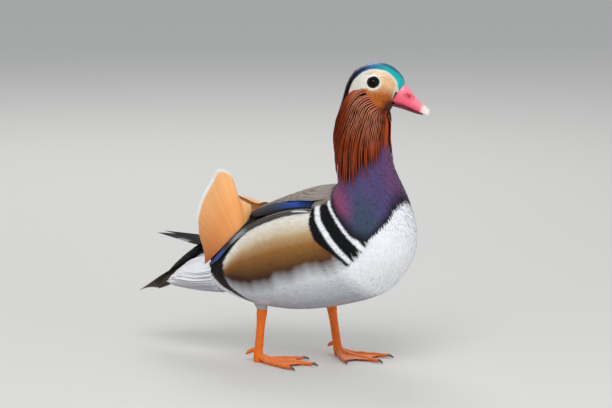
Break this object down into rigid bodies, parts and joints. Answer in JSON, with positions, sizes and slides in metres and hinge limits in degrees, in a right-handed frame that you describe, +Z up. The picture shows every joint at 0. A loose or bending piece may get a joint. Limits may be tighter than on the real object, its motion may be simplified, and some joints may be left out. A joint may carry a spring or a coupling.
{
  "type": "mandarin duck",
  "caption": "Life-size still model of a drake mandarin duck standing with its head up and turned a little to its left.",
  "frame": {"origin": "middle of the bird's outline seen from above, at floor level", "axes": "+X the way the body faces, +Y the bird's left, +Z up"},
  "size_m": [0.3024, 0.1208, 0.283],
  "materials": {
    "body_feathers": "matte",
    "neck_feathers": "satin",
    "face_feathers": "matte",
    "crest_feathers": "satin",
    "ruff_feathers": "matte",
    "wing_feathers": "satin",
    "sail_feathers": "matte",
    "tail_feathers": "matte",
    "undertail_feathers": "matte",
    "bill": "satin",
    "eye": "gloss",
    "leg_skin": "matte",
    "claw": "satin"
  },
  "bodies": {
    "root": {"torso": "body_feathers", "neck": "neck_feathers", "head": "face_feathers", "eye_right": "eye", "eye_left": "eye", "bill_upper": "bill", "bill_lower": "bill", "crest": "crest_feathers", "ruff_right": "ruff_feathers", "ruff_left": "ruff_feathers", "wing_right": "wing_feathers", "wing_left": "wing_feathers", "sail_right": "sail_feathers", "sail_left": "sail_feathers", "tail": "tail_feathers", "tail_coverts": "tail_feathers", "undertail": "undertail_feathers", "thigh_right": "body_feathers", "shank_right": "leg_skin", "foot_right": "leg_skin", "claw_outer_right": "claw", "claw_middle_right": "claw", "claw_inner_right": "claw", "thigh_left": "body_feathers", "shank_left": "leg_skin", "foot_left": "leg_skin", "claw_outer_left": "claw", "claw_middle_left": "claw", "claw_inner_left": "claw"}
  },
  "joints": []
}
